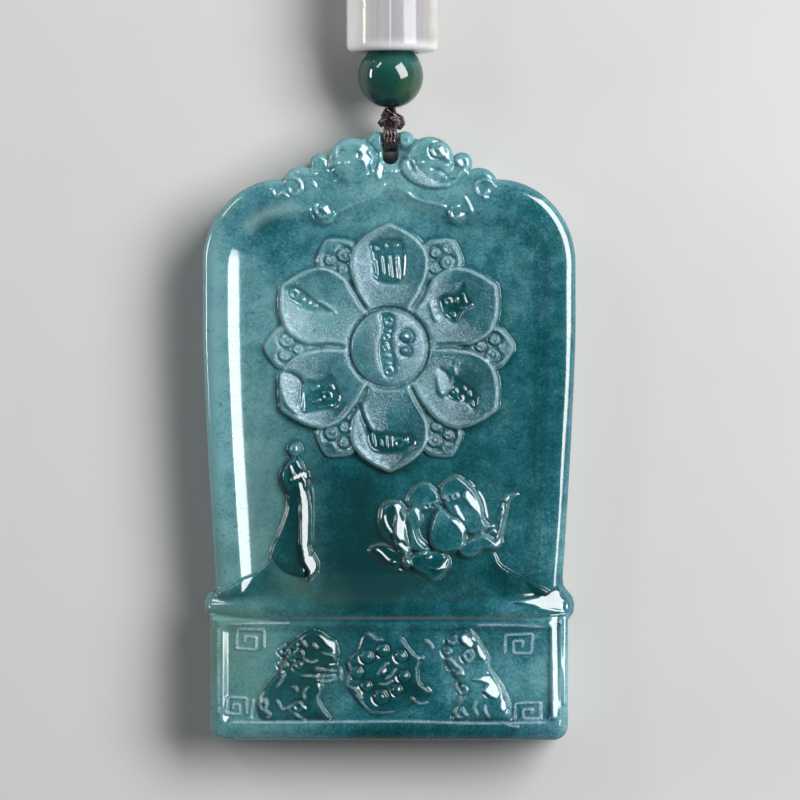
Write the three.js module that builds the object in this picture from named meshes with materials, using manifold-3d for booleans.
// A carved jade pendant on a beaded neck cord, lying on its back.
// Millimetres. +X is right and +Y is up as the carving is seen, +Z comes out of the carved face.
// The origin is at the bottom centre of the jade plaque.

import * as THREE from 'three';
import { mergeVertices } from 'three/addons/utils/BufferGeometryUtils.js';
import Module from 'manifold-3d';

const wasm = await Module();
wasm.setup();

// The jade plaque: overall size and the heights of its surfaces
const PLAQUE_HEIGHT = 62;
const TOP_Y = PLAQUE_HEIGHT / 2;
const FOOT_Y = -TOP_Y;
const BODY_HALF_WIDTH = 19;
const BODY_TAPER = 1.4;
const TAPER_START_Y = 10.7;
const TAPER_RUN = 26.4;
const SHOULDER = { x: 11, y: 17.5, across: 8, up: 8.6 };
const RIM_Z = 7;
const FIELD_Z = 6.4;
const EDGE_ROUND = 1.3;
const RIM_WIDTH = 2.4;
const RIM_SLOPE = 2.1;
const PANEL_TOP_Y = 22.8;
const PANEL_CORNER = 5.5;
const PANEL_PEAK_Y = 25.4;

// The stepped foot: a rolled ledge over a framed block
const LEDGE = { low: -18.8, high: -15.9, halfWidth: 18.85, z: 7.8, flat: 11, bow: 19, round: 0.8 };
const BLOCK = { halfWidth: 18.2, z: 7.6, corner: 1.5, round: 0.7 };
const FRAME_WIDTH = 1.1;
const FRAME_CORNER = 0.8;
const BLOCK_FIELD_Z = 7.25;
const BLOCK_FIELD_TOP_Y = -19.3;
const BLOCK_RELIEF_Z = 7.9;

// The slot that the cord passes through, and the thin bridge of jade over it
const SLOT = { x: 0.1, halfWidth: 0.75, low: 27.6, high: 30 };
const BRIDGE = { back: 1.9, front: 6.2, top: 30.9 };
const HOLLOW = { left: -2.2, right: 2.4, low: 27.2 };

// The flower
const FLOWER = { x: 0, y: 8.9, petals: 6, reach: 12.6, petalHalfWidth: 4.1, heartRadius: 3.97 };
const PETAL_Z = 7.1;
const SEPAL_Z = 6.75;

// The thread: its loop over the bridge, its wound knot, and the stem through the beads
const LOOP = { thick: 0.72, width: 1.1 };
const KNOT = { low: 31.35, high: 33.2, radius: 1.5, wraps: 3 };
const STEM_RADIUS = 0.6;

// The beads
const BEAD_RADIUS = 3.35;
const BEAD_BORE = 0.9;
const BEAD_PLACE = [0.15, 36.7];
const TUBE = { x: 0.3, low: 39.1, length: 14, radius: 4.65, bore: 2.2, round: 0.7 };
const STRING_Z = TUBE.radius;
const GAP = 0.3;

// The neck cord and its hank
const CORD_RADIUS = 0.9;
const CORD_LENGTH = 640;
const STRAND_OFFSET = 1.05;
const CORD_START_Y = 46.5;
const HANK = { x: TUBE.x, nearY: 68.2, inner: 5.5, columns: 2, layers: 4, lift: 0.6 };
const TIE_WIDTH = 5;
const TIE_THICKNESS = 0.3;

// The colours, as the photograph shows them
const JADE = new THREE.MeshStandardMaterial({ color: 0x3f7f85, roughness: 0.22, metalness: 0 });
const GREEN_JADE = new THREE.MeshStandardMaterial({ color: 0x174a3c, roughness: 0.12, metalness: 0 });
const CHALCEDONY = new THREE.MeshStandardMaterial({ color: 0xd9d6d6, roughness: 0.2, metalness: 0 });
const DARK_THREAD = new THREE.MeshStandardMaterial({ color: 0x2a0d12, roughness: 0.5, metalness: 0 });
const TIE_CLOTH = new THREE.MeshStandardMaterial({ color: 0x191516, roughness: 0.9, metalness: 0 });

// Solids and helpers

function toSolid(geometry) {
  const bare = geometry.clone();
  bare.deleteAttribute('normal');
  bare.deleteAttribute('uv');
  const merged = mergeVertices(bare, 1e-4);
  const corners = merged.index.array;
  const kept = [];
  for (let i = 0; i < corners.length; i += 3) {
    const [a, b, c] = [corners[i], corners[i + 1], corners[i + 2]];
    if (a !== b && b !== c && c !== a) kept.push(a, b, c);
  }
  return new wasm.Manifold(new wasm.Mesh({
    numProp: 3,
    vertProperties: new Float32Array(merged.attributes.position.array),
    triVerts: new Uint32Array(kept),
  }));
}

function toGeometry(solid) {
  const mesh = solid.getMesh();
  const geometry = new THREE.BufferGeometry();
  geometry.setAttribute('position', new THREE.BufferAttribute(new Float32Array(mesh.vertProperties), 3));
  geometry.setIndex(new THREE.BufferAttribute(new Uint32Array(mesh.triVerts), 1));
  geometry.computeVertexNormals();
  return geometry;
}

function joined(solids) {
  return solids.reduce((whole, solid) => whole.add(solid));
}

function shapeOf(points) {
  return new THREE.Shape(points.map(([x, y]) => new THREE.Vector2(x, y)));
}

// A closed smooth outline through a few hand-set points
function smooth(points, count) {
  const knots = points.map(([x, y]) => new THREE.Vector3(x, y, 0));
  const curve = new THREE.CatmullRomCurve3(knots, true, 'centripetal');
  return curve.getSpacedPoints(count).slice(0, count).map((p) => [p.x, p.y]);
}

function ellipse(x, y, across, up, count) {
  return Array.from({ length: count }, (_, i) => {
    const angle = (2 * Math.PI * i) / count;
    return [x + across * Math.cos(angle), y + up * Math.sin(angle)];
  });
}

function mirrored(points) {
  return points.map(([x, y]) => [-x, y]).reverse();
}

function placed(points, x, y, angle = 0) {
  const [c, s] = [Math.cos(angle), Math.sin(angle)];
  return points.map(([px, py]) => [x + c * px - s * py, y + s * px + c * py]);
}

// A flat-based relief with rounded upper and lower edges
function relief(points, low, high, round, steps = 1) {
  const geometry = new THREE.ExtrudeGeometry(shapeOf(points), {
    depth: high - low - 2 * round,
    bevelEnabled: round > 0,
    bevelThickness: round,
    bevelSize: round,
    bevelOffset: -round,
    bevelSegments: steps,
  });
  geometry.translate(0, 0, low + round);
  return toSolid(geometry);
}

// A solid through rings with equal numbers of points, from the lowest to the highest
function stacked(rings) {
  const count = rings[0].points.length;
  const positions = rings.flatMap((ring) => ring.points.flatMap(([x, y]) => [x, y, ring.z]));
  const faces = [];
  for (let r = 0; r + 1 < rings.length; r += 1) {
    for (let i = 0; i < count; i += 1) {
      const [a, b] = [r * count + i, r * count + ((i + 1) % count)];
      faces.push(a, b, b + count, a, b + count, a + count);
    }
  }
  const flat = (ring) => ring.points.map(([x, y]) => new THREE.Vector2(x, y));
  THREE.ShapeUtils.triangulateShape(flat(rings[0]), []).forEach(([a, b, c]) => faces.push(a, c, b));
  const last = (rings.length - 1) * count;
  THREE.ShapeUtils.triangulateShape(flat(rings.at(-1)), [])
    .forEach(([a, b, c]) => faces.push(last + a, last + b, last + c));
  const geometry = new THREE.BufferGeometry();
  geometry.setAttribute('position', new THREE.Float32BufferAttribute(positions, 3));
  geometry.setIndex(faces);
  return toSolid(geometry);
}

// A cushion: its outline shrinks towards a centre as its profile of [share, z] pairs says
function cushion(points, [cx, cy], profile) {
  return stacked(profile.map(([share, z]) => ({
    z,
    points: points.map(([x, y]) => [cx + (x - cx) * share, cy + (y - cy) * share]),
  })));
}

function dome(x, y, radius, low, high, count = 10) {
  const rise = Math.min(radius * 0.8, (high - low) / 2);
  return cushion(ellipse(x, y, radius, radius, count), [x, y], [
    [1, low], [1, high - rise], [0.84, high - rise * 0.4], [0.4, high],
  ]);
}

// A raised ring with a round section, as a scroll's curl or an eye
function curl(x, y, radius, thickness, z) {
  const geometry = new THREE.TorusGeometry(radius, thickness, 4, 10);
  geometry.translate(x, y, z);
  return toSolid(geometry);
}

// A straight raised stroke
function stroke([x0, y0], [x1, y1], width, low, high) {
  const length = Math.hypot(x1 - x0, y1 - y0);
  const geometry = new THREE.BoxGeometry(length + width, width, high - low);
  geometry.rotateZ(Math.atan2(y1 - y0, x1 - x0));
  geometry.translate((x0 + x1) / 2, (y0 + y1) / 2, (low + high) / 2);
  return toSolid(geometry);
}

// The plaque's outlines

function bodyHalfWidth(y) {
  const share = Math.max(0, Math.min(1, (TAPER_START_Y - y) / TAPER_RUN));
  return BODY_HALF_WIDTH - BODY_TAPER * share ** 1.3;
}

function arc(x, y, across, up, from, to, steps) {
  return Array.from({ length: steps + 1 }, (_, i) => {
    const angle = THREE.MathUtils.degToRad(from + ((to - from) * i) / steps);
    return [x + across * Math.cos(angle), y + up * Math.sin(angle)];
  });
}

function bodyOutline() {
  const sideHeights = [LEDGE.low, -15, -11, -6, 0, 6, TAPER_START_Y];
  const right = sideHeights.map((y) => [bodyHalfWidth(y), y]);
  right.push(...arc(SHOULDER.x, SHOULDER.y, SHOULDER.across, SHOULDER.up, 0, 90, 9));
  return [...right, ...mirrored(right)];
}

// The sunk panel's outline: it follows the sides, and its top rises to a peak between the scrolls
function panelOutline(inset) {
  const side = (y) => bodyHalfWidth(y) - RIM_WIDTH - inset;
  const cornerY = PANEL_TOP_Y - PANEL_CORNER;
  const corner = PANEL_CORNER - inset;
  const right = [LEDGE.low + 1, -11, -4, 3, 10].map((y) => [side(y), y]);
  right.push(...arc(side(cornerY) - corner, cornerY, corner, corner, 0, 90, 5));
  right.push([6, PANEL_TOP_Y + 0.4 - inset], [3, PANEL_TOP_Y + 1.3 - inset], [0.9, PANEL_PEAK_Y - inset]);
  return [...right, ...mirrored(right)];
}

function bodySolid() {
  const slab = relief(bodyOutline(), 0, RIM_Z, EDGE_ROUND, 2);
  const panel = stacked([
    { z: FIELD_Z, points: panelOutline(RIM_SLOPE) },
    { z: FIELD_Z + 0.2, points: panelOutline(RIM_SLOPE * 0.55) },
    { z: RIM_Z + 0.1, points: panelOutline(-0.1) },
  ]);
  return slab.subtract(panel);
}

// The scrolled crest: a pair of small scrolled heads that face outwards, either side of the slot

const CREST_LOBES = [
  { x: 9.05, y: 25.35, radius: 1.97, z: 6.9 },
  { x: 7.2, y: 27.7, radius: 1.07, z: 6.6 },
  { x: 4.05, y: 27.9, radius: 2.47, z: 7.3 },
  { x: 1.45, y: 30, radius: 1, z: 6.5 },
  { x: 6.7, y: 22.6, radius: 1.15, z: 6.9 },
];
const JAW = [
  [1.3, 28.1], [1.2, 27], [2.1, 26], [3.6, 25.2], [5.2, 25.1], [6.3, 25.7], [8.2, 27.7],
  [7.8, 28], [6.2, 26.5], [4.9, 25.9], [3.3, 26.1], [2.4, 26.8], [2, 28],
];

function crestSolid() {
  const back = [
    [-9.5, 25], [-8.1, 27.2], [-6.3, 28.4], [-2.2, BRIDGE.top - 0.5], [-1.2, BRIDGE.top],
    [1.4, BRIDGE.top], [2.4, BRIDGE.top - 0.5], [6.3, 28.4], [8.1, 27.2], [9.5, 25],
    [5.6, 23.2], [0, 25.2], [-5.6, 23.2],
  ].reverse();
  const pieces = [relief(back, BRIDGE.back, BRIDGE.front, 0.4, 2)];
  for (const side of [-1, 1]) {
    CREST_LOBES.forEach((lobe) => {
      pieces.push(dome(side * lobe.x, lobe.y, lobe.radius, BRIDGE.back - 0.6, lobe.z));
    });
    const jaw = side > 0 ? JAW : mirrored(JAW);
    pieces.push(relief([...jaw].reverse(), BRIDGE.front - 1, 7.1, 0.2));
    pieces.push(curl(side * 4.95, 28.9, 0.62, 0.2, 7.2));
    pieces.push(curl(side * 9.4, 25, 0.9, 0.2, 6.85));
    pieces.push(curl(side * 6.7, 22.6, 0.75, 0.18, 6.85));
  }
  return joined(pieces);
}

function slotCutter() {
  const width = SLOT.halfWidth;
  const ends = [
    ...arc(SLOT.x, SLOT.low + width, width, width, 180, 360, 8),
    ...arc(SLOT.x, SLOT.high - width, width, width, 0, 180, 8),
  ];
  return relief(ends, -1, 9, 0);
}

// The back is hollowed out below the bridge, so that the cord behind it clears what the plaque lies on
function backCutter() {
  const { left, right, low } = HOLLOW;
  const points = [[left, low], [right, low], [right, TOP_Y + 1], [left, TOP_Y + 1]];
  return relief(points, -1, BRIDGE.back, 0);
}

// The flower: six dished petals with pointed tips, small sepals between them, and a domed heart

const SEPAL = [
  [0, 12.7], [-1.6, 11.9], [-2.4, 10.2], [-1.3, 7.5], [0, 5.5], [1.3, 7.5], [2.4, 10.2], [1.6, 11.9],
];

function petalOutline() {
  const { reach, petalHalfWidth: half } = FLOWER;
  const right = [
    [0.9, 3.2], [1.9, 4.4], [3.1, 5.8], [half * 0.97, 7.4], [half, 8.9], [half * 0.86, 10.6], [2, 11.9],
  ];
  return [[0, reach], ...mirrored(right), ...right];
}

function flowerSolid() {
  const { x, y, petals } = FLOWER;
  const pieces = [];
  for (let i = 0; i < petals; i += 1) {
    const turn = (2 * Math.PI * i) / petals;
    const petal = placed(petalOutline(), x, y, turn);
    const [heart] = placed([[0, 8.2]], x, y, turn);
    pieces.push(cushion(petal, heart, [
      [1, FIELD_Z - 1], [1, FIELD_Z + 0.5], [0.9, PETAL_Z], [0.7, PETAL_Z - 0.25], [0.35, PETAL_Z - 0.4],
    ]));
    const sepal = placed(SEPAL, x, y, turn + Math.PI / petals);
    pieces.push(relief(sepal, FIELD_Z - 1, SEPAL_Z, 0.25));
  }
  pieces.push(cushion(ellipse(x, y, FLOWER.heartRadius, FLOWER.heartRadius, 24), [x, y], [
    [1, FIELD_Z - 1], [1, FIELD_Z + 0.5], [0.96, FIELD_Z + 0.8], [0.8, FIELD_Z + 0.9], [0.4, FIELD_Z + 0.75],
  ]));
  return joined(pieces);
}

// The ground, which climbs from the foot to the sides of the panel

const GROUND = [
  [-17.8, -15.7], [-15.2, -14.7], [-13, -13.6], [-12, -11.9], [-10.4, -7.4], [-9, -13.5], [-4, -15.6],
  [3, -15.8], [9, -13.6], [10.7, -12], [12.3, -13.8], [14.3, -14.8], [17.4, -16], [17.4, -18], [-17.8, -18],
].reverse();

function groundSolid() {
  return relief(GROUND, FIELD_Z - 1, FIELD_Z + 0.45, 0.2);
}

// The robed figure: a head, a torso with folded arms, and a long robe with a heavy front fold

function figureSolid() {
  const head = dome(-9.7, -1.4, 0.68, FIELD_Z - 0.5, FIELD_Z + 0.9, 10);
  const bun = dome(-9.85, -0.75, 0.3, FIELD_Z - 0.5, FIELD_Z + 0.5, 8);
  const torso = relief(smooth([
    [-9.3, -2.1], [-10.3, -2.5], [-11, -3.7], [-10.9, -5], [-10.3, -6.4], [-8.3, -6.3], [-8.1, -4.9],
    [-8.6, -3],
  ], 14), FIELD_Z - 0.5, FIELD_Z + 0.7, 0.35);
  const robe = relief(smooth([
    [-10.3, -5.8], [-10.4, -7.6], [-11.4, -10.2], [-12.1, -12], [-13.3, -14.9], [-9, -15.2], [-7.6, -14.4],
    [-7.8, -12], [-8, -8.6], [-8.2, -5.8],
  ], 14), FIELD_Z - 0.5, FIELD_Z + 0.55, 0.3);
  const fold = relief(smooth([
    [-9, -4.9], [-8.8, -8], [-8.8, -11.4], [-8.3, -13.2], [-8.3, -14.7], [-7.4, -13.6], [-7.7, -12.3],
    [-8.2, -11], [-8.2, -7], [-8.4, -4.7],
  ], 14), FIELD_Z - 0.5, FIELD_Z + 0.75, 0.2);
  const sleeves = relief(smooth([
    [-10.2, -3.4], [-9.2, -4.7], [-8.3, -3.9], [-8.3, -3], [-9.5, -2.9],
  ], 10), FIELD_Z, FIELD_Z + 0.8, 0.2);
  return joined([head, bun, torso, robe, fold, sleeves]);
}

// The lotus, as overlapping petals from the back of the flower to the front, each with its rise

const LOTUS_PETALS = [
  [0.4, [[1.8, -6.9], [2.1, -5.7], [3.3, -4.8], [4.5, -5.3], [5.2, -7], [4, -9], [2.4, -8.6]]],
  [0.5, [[5.1, -5.5], [6.7, -4], [8.3, -5.1], [9.4, -7.4], [9.6, -9.2], [8.2, -10.4], [6.2, -8.5]]],
  [0.5, [[-1, -8.3], [-0.4, -6.9], [1.2, -6.8], [1.5, -9], [2, -11.8], [0.4, -11.3], [-0.8, -9.9]]],
  [0.8, [[0.6, -8.2], [1.1, -7.1], [1.6, -8.2], [1.6, -10.4], [2.3, -12.6], [1.3, -12.4], [0.5, -10.5]]],
  [0.6, [[2, -7.8], [2.9, -7.5], [3.3, -9], [3.2, -10.8], [4.2, -11.7], [2.6, -12], [1.8, -10]]],
  [0.8, [[4.1, -9.7], [5.2, -7.4], [6.6, -8.3], [7.7, -10], [7.3, -11.6], [5.8, -12.3], [4.3, -11.6]]],
  [0.6, [[7, -11.6], [8.2, -10.5], [9.8, -10.1], [11.2, -11.2], [9.5, -11.8], [8, -12.4]]],
  [0.55, [[2.2, -12.2], [4, -12], [6, -12.3], [5.8, -13.5], [4.4, -14.7], [2.6, -13.7]]],
  [0.4, [[-2.1, -11.7], [-0.8, -11.1], [1.5, -12.1], [1.3, -13.3], [-0.5, -13]]],
  [0.35, [[10.4, -11.3], [11, -9.4], [11.4, -7], [11.9, -6], [13, -6], [12.1, -7], [11.7, -9], [11.2, -11.2]]],
];
const LOTUS_SEEDS = [[3.85, -7.3], [4.6, -7.1], [5.3, -6.75], [5.95, -6.45], [6.6, -6.3]];

function lotusSolid() {
  const petals = LOTUS_PETALS.map(([rise, points]) => {
    const outline = smooth([...points].reverse(), 11);
    return relief(outline, FIELD_Z - 0.6, FIELD_Z + rise, 0.25);
  });
  const seeds = LOTUS_SEEDS.map(([x, y]) => dome(x, y, 0.35, FIELD_Z, FIELD_Z + 0.7, 6));
  return joined([...petals, ...seeds]);
}

// The foot: the rolled ledge, and the framed block with two lions, a bossed medallion and key squares

// The room below the ledge's top, which falls away towards both ends
function ledgeBow() {
  const { low, high, halfWidth, z, flat, bow } = LEDGE;
  const falls = [flat, flat + 3, flat + 5.5, halfWidth].map((x) => [x, z - (x - flat) ** 2 / (2 * bow)]);
  const right = [[halfWidth, -1], ...[...falls].reverse()];
  const shape = shapeOf([...right, ...mirrored(right)]);
  const geometry = new THREE.ExtrudeGeometry(shape, { depth: high - low + 2, bevelEnabled: false });
  geometry.rotateX(Math.PI / 2);
  geometry.translate(0, high + 1, 0);
  return toSolid(geometry);
}

function ledgeSolid() {
  const { low, high, halfWidth, z, round } = LEDGE;
  const middle = (low + high) / 2;
  const radius = (high - low) / 2;
  const end = arc(halfWidth - round, middle, round, radius, -90, 90, 6);
  return relief([...end, ...mirrored(end)], 0, z, round).intersect(ledgeBow());
}

function blockSolid() {
  const { halfWidth, z, corner, round } = BLOCK;
  const outline = [
    ...arc(halfWidth - corner, FOOT_Y + corner, corner, corner, -90, 0, 5),
    [halfWidth, LEDGE.low + 0.6],
    [-halfWidth, LEDGE.low + 0.6],
    ...arc(-halfWidth + corner, FOOT_Y + corner, corner, corner, 180, 270, 5),
  ];
  const [x, low, high, r] = [halfWidth - FRAME_WIDTH, FOOT_Y + 1.7, BLOCK_FIELD_TOP_Y, FRAME_CORNER];
  const field = [
    ...arc(x - r, low + r, r, r, -90, 0, 3), ...arc(x - r, high - r, r, r, 0, 90, 3),
    ...arc(-x + r, high - r, r, r, 90, 180, 3), ...arc(-x + r, low + r, r, r, 180, 270, 3),
  ];
  return relief(outline, 0, z, round).subtract(relief(field, BLOCK_FIELD_Z, 9, 0));
}

// A lion that sits facing +X, with its forefeet at the origin's right
const LION_BODY = [
  [-4.7, 7.2], [-4.9, 6.1], [-6.1, 3.9], [-6.9, 2.6], [-7.3, 1.2], [-6.9, 0], [-3.4, 0], [-0.4, 0],
  [-0.9, 1.3], [-1.1, 2.2], [-0.8, 4.4], [-1, 6],
];
const LION_HEAD = [
  [-3.3, 8.3], [-2.2, 9.1], [-1.2, 9.1], [-0.2, 8.4], [0.6, 7.8], [0.7, 6.6], [0.5, 5.4], [-0.8, 4.6],
  [-2.6, 5.4], [-3.6, 6.8],
];
const LION_CURLS = [[-4.4, 7.2], [-3.8, 6], [-3.2, 7.6], [-3, 5.1]];
const LION_PAWS = [[-0.9, 0.5], [-3.2, 0.9], [-6.4, 0.7]];
const LION_FLOOR_Y = -28.8;

function lionSolid(x, side) {
  const place = (points) => placed(side > 0 ? points : mirrored(points), x, LION_FLOOR_Y);
  const carved = (points, count, high, round) => {
    const outline = place(smooth([...points].reverse(), count));
    return relief(outline, BLOCK_FIELD_Z - 0.6, high, round);
  };
  const knobs = (centres, radius, high) => place(centres)
    .map(([cx, cy]) => dome(cx, cy, radius, BLOCK_FIELD_Z - 0.3, high, 6));
  return joined([
    carved(LION_BODY, 15, BLOCK_RELIEF_Z - 0.1, 0.35),
    carved(LION_HEAD, 12, BLOCK_RELIEF_Z + 0.05, 0.3),
    ...knobs(LION_CURLS, 0.62, BLOCK_RELIEF_Z + 0.05),
    ...knobs(LION_PAWS, 0.75, BLOCK_RELIEF_Z),
  ]);
}

const MEDALLION = { x: -0.5, y: -24.2, radius: 4.05, bosses: 8, ring: 2.45 };

function medallionSolid() {
  const { x, y, radius, bosses, ring } = MEDALLION;
  const outline = Array.from({ length: bosses * 2 }, (_, i) => {
    const angle = (Math.PI * (i + 0.5)) / bosses;
    const reach = i % 2 ? radius * 0.86 : radius;
    return [x + reach * Math.cos(angle), y + reach * Math.sin(angle)];
  });
  const pieces = [relief(outline, BLOCK_FIELD_Z - 0.5, BLOCK_RELIEF_Z - 0.4, 0.2)];
  for (let i = 0; i < bosses; i += 1) {
    const angle = (2 * Math.PI * (i + 0.25)) / bosses;
    const [bossX, bossY] = [x + ring * Math.cos(angle), y + ring * Math.sin(angle)];
    pieces.push(dome(bossX, bossY, 0.6, BLOCK_FIELD_Z, BLOCK_RELIEF_Z, 6));
  }
  pieces.push(dome(x, y, 0.9, BLOCK_FIELD_Z, BLOCK_RELIEF_Z, 8));
  return joined(pieces);
}

// A square key spiral of raised strokes
const KEY_LINE = 0.32;
const KEYS = [
  { x: -14.1, y: -20.9, size: 2.6, side: 1 }, { x: -15, y: -27.5, size: 2.4, side: 1 },
  { x: 13.2, y: -21.3, size: 2.6, side: -1 }, { x: 14, y: -27.7, size: 2.4, side: -1 },
];

function keySolid({ x, y, size, side }) {
  const [a, b] = [size / 2, size / 5];
  const turns = [[-a, -a], [-a, a], [a, a], [a, -a + b], [-b, -a + b], [-b, b], [b * 0.8, b]];
  const corners = turns.map(([px, py]) => [x + side * px, y + py]);
  const [low, high] = [BLOCK_FIELD_Z - 0.3, BLOCK_FIELD_Z + 0.3];
  return joined(corners.slice(1).map((end, i) => stroke(corners[i], end, KEY_LINE, low, high)));
}

function plaqueSolid() {
  const whole = joined([
    bodySolid(), crestSolid(), flowerSolid(), groundSolid(), figureSolid(), lotusSolid(), ledgeSolid(),
    blockSolid(), lionSolid(-6, 1), lionSolid(5.6, -1), medallionSolid(), ...KEYS.map(keySolid),
  ]);
  return whole.subtract(slotCutter()).subtract(backCutter());
}

// The cord through the slot, its wound knot, and the thread that carries the bead

function loopSolid() {
  const inner = {
    low: SLOT.high - GAP, high: BRIDGE.top + GAP, back: BRIDGE.back - GAP, front: BRIDGE.front + GAP,
  };
  const { thick, width } = LOOP;
  const ring = (grow, round) => [
    ...arc(inner.high + grow - round, inner.back - grow + round, round, round, -90, 0, 3),
    ...arc(inner.high + grow - round, inner.front + grow - round, round, round, 0, 90, 3),
    ...arc(inner.low - grow + round, inner.front + grow - round, round, round, 90, 180, 3),
    ...arc(inner.low - grow + round, inner.back - grow + round, round, round, 180, 270, 3),
  ];
  const shape = shapeOf(ring(thick, 1));
  shape.holes.push(new THREE.Path(ring(0, 0.35).map(([y, z]) => new THREE.Vector2(y, z))));
  const geometry = new THREE.ExtrudeGeometry(shape, { depth: width, bevelEnabled: false });
  geometry.translate(0, 0, SLOT.x - width / 2);
  geometry.applyMatrix4(new THREE.Matrix4().makeBasis(
    new THREE.Vector3(0, 1, 0), new THREE.Vector3(0, 0, 1), new THREE.Vector3(1, 0, 0),
  ));
  return toSolid(geometry);
}

function knotSolid() {
  const { low, high, radius, wraps } = KNOT;
  const profile = [new THREE.Vector2(0, low)];
  const steps = wraps * 3;
  for (let i = 0; i <= steps; i += 1) {
    const share = i / steps;
    const belly = 0.55 + 0.45 * Math.sin(Math.PI * share);
    const wrap = 1 + 0.07 * Math.cos(2 * Math.PI * wraps * (share - 0.5 / wraps));
    profile.push(new THREE.Vector2(radius * belly * wrap, low + (high - low) * share));
  }
  profile.push(new THREE.Vector2(0, high));
  const geometry = new THREE.LatheGeometry(profile, 12);
  geometry.translate(BEAD_PLACE[0], 0, STRING_Z);
  return toSolid(geometry);
}

function stemSolid() {
  const [low, high] = [KNOT.high - 0.2, CORD_START_Y - GAP];
  const geometry = new THREE.CylinderGeometry(STEM_RADIUS, STEM_RADIUS, high - low, 8);
  geometry.translate(BEAD_PLACE[0], (low + high) / 2, STRING_Z);
  return toSolid(geometry);
}

function beadGeometry() {
  const tilt = Math.asin(BEAD_BORE / BEAD_RADIUS);
  const steps = 10;
  const profile = Array.from({ length: steps + 1 }, (_, i) => {
    const angle = -Math.PI / 2 + tilt + ((Math.PI - 2 * tilt) * i) / steps;
    return new THREE.Vector2(BEAD_RADIUS * Math.cos(angle), BEAD_RADIUS * Math.sin(angle));
  });
  profile.push(profile[0].clone());
  return new THREE.LatheGeometry(profile, 16);
}

// A straight tube bead: its lower mouth is dished to seat the round bead
function tubeGeometry() {
  const { length, radius, bore, round } = TUBE;
  const centreY = BEAD_PLACE[1] - TUBE.low;
  const seat = BEAD_RADIUS + GAP;
  const from = Math.asin(-centreY / seat);
  const to = Math.acos(bore / seat);
  const profile = Array.from({ length: 4 }, (_, i) => {
    const angle = from + ((to - from) * i) / 3;
    return new THREE.Vector2(seat * Math.cos(angle), centreY + seat * Math.sin(angle));
  });
  profile.push(new THREE.Vector2(bore, length - 0.3), new THREE.Vector2(bore + 0.3, length));
  const rim = (y, start) => arc(radius - round, y, round, round, start, start - 90, 2);
  [...rim(length - round, 90), ...rim(round, 0)].forEach(([x, y]) => profile.push(new THREE.Vector2(x, y)));
  profile.push(profile[0].clone());
  return new THREE.LatheGeometry(profile.reverse(), 20);
}

// The neck cord: both strands leave the tube bead, and the rest lies in a hank held by a tie

const outerTurn = HANK.inner + 2 * CORD_RADIUS * (HANK.columns - 1);
const hankHalfWidth = outerTurn + CORD_RADIUS;
const hankHeight = 2 * CORD_RADIUS * HANK.layers;

// The strands between the tube bead and the hank, as [offset from the middle, Y, Z], chosen by hand
const STRAND_OUT = [
  [STRAND_OFFSET, CORD_START_Y, STRING_Z], [STRAND_OFFSET, 50, STRING_Z], [STRAND_OFFSET, 53.5, STRING_Z],
  [1.3, 55.2, 4.3], [2.2, 57, 2.9], [3.5, 58.7, 1.5], [4.9, 60.4, 0.95], [6.2, 62.4, 1],
  [6.95, 64.6, 1.2], [outerTurn, 66.8, 1.45],
];
const STRAND_BACK = [
  [STRAND_OFFSET, CORD_START_Y, STRING_Z], [STRAND_OFFSET, 50, STRING_Z], [STRAND_OFFSET, 53.5, STRING_Z],
  [1.3, 55.2, 4.7], [2.2, 57, 4.9], [3.5, 58.7, 5.3], [4.9, 60.4, 5.9], [6.2, 62.4, 6.4],
  [6.95, 64.6, 6.8], [outerTurn, 66.8, 6.9],
];
const SOLID_STRAND_POINTS = 7;

function polylineLength(points) {
  return points.slice(1).reduce((sum, p, i) => sum + Math.hypot(...p.map((v, k) => v - points[i][k])), 0);
}

// The straight run that gives the whole cord its length, once the strands and the turns' ends are counted
function hankRun() {
  const turns = HANK.columns * HANK.layers;
  const meanTurn = (HANK.inner + outerTurn) / 2;
  const ends = Math.PI * meanTurn * (2 * turns - 1);
  const strands = polylineLength(STRAND_OUT) + polylineLength(STRAND_BACK);
  return (CORD_LENGTH - ends - strands) / (2 * turns);
}

function strandGeometry(points, side) {
  const route = points.slice(0, SOLID_STRAND_POINTS)
    .map(([offset, y, z]) => new THREE.Vector3(TUBE.x + side * offset, y, Math.max(z, CORD_RADIUS + 0.02)));
  const section = shapeOf(ellipse(0, 0, CORD_RADIUS, CORD_RADIUS, 8));
  return new THREE.ExtrudeGeometry(section, {
    steps: 8, extrudePath: new THREE.CatmullRomCurve3(route), bevelEnabled: false,
  });
}

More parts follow.
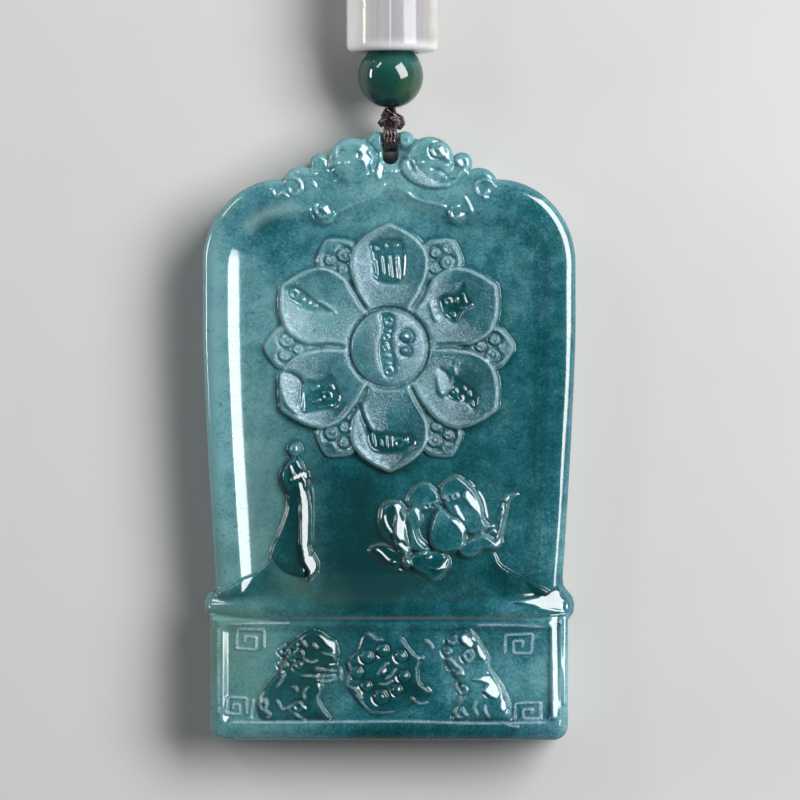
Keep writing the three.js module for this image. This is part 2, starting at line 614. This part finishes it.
function hankGeometry() {
  const [near, far] = [HANK.nearY, HANK.nearY + hankRun()];
  const outline = [
    ...arc(HANK.x, near, hankHalfWidth, hankHalfWidth, 180, 360, 12),
    ...arc(HANK.x, far, hankHalfWidth, hankHalfWidth, 0, 180, 12),
  ];
  const geometry = new THREE.ExtrudeGeometry(shapeOf(outline), { depth: hankHeight, bevelEnabled: false });
  geometry.translate(0, 0, HANK.lift);
  return geometry;
}

function tieGeometry() {
  const band = (grow) => {
    const [x, low, high] = [hankHalfWidth + grow, HANK.lift - grow, HANK.lift + hankHeight + grow];
    const corner = grow;
    return [
      ...arc(x - corner, low + corner, corner, corner, -90, 0, 3),
      ...arc(x - corner, high - corner, corner, corner, 0, 90, 3),
      ...arc(-x + corner, high - corner, corner, corner, 90, 180, 3),
      ...arc(-x + corner, low + corner, corner, corner, 180, 270, 3),
    ];
  };
  const shape = shapeOf(band(GAP + TIE_THICKNESS));
  shape.holes.push(new THREE.Path(band(GAP).map(([x, z]) => new THREE.Vector2(x, z))));
  const geometry = new THREE.ExtrudeGeometry(shape, { depth: TIE_WIDTH, bevelEnabled: false });
  geometry.rotateX(Math.PI / 2);
  geometry.translate(HANK.x, HANK.nearY + hankRun() / 2 + TIE_WIDTH / 2, 0);
  return geometry;
}

// The assembled pendant

const group = new THREE.Group();

function addPiece(name, geometry, material, x = 0, y = 0, z = 0) {
  const mesh = new THREE.Mesh(geometry, material);
  mesh.name = name;
  mesh.position.set(x, y, z);
  group.add(mesh);
}

addPiece('plaque', toGeometry(plaqueSolid()), JADE);
addPiece('knotted_loop', toGeometry(joined([loopSolid(), knotSolid(), stemSolid()])), DARK_THREAD);
addPiece('round_bead', beadGeometry(), GREEN_JADE, BEAD_PLACE[0], BEAD_PLACE[1], STRING_Z);
addPiece('tube_bead', tubeGeometry(), CHALCEDONY, TUBE.x, TUBE.low, STRING_Z);
addPiece('cord_strand_left', strandGeometry(STRAND_OUT, -1), DARK_THREAD);
addPiece('cord_strand_right', strandGeometry(STRAND_BACK, 1), DARK_THREAD);
addPiece('cord_hank', hankGeometry(), DARK_THREAD);
addPiece('hank_tie', tieGeometry(), TIE_CLOTH);

export default group;
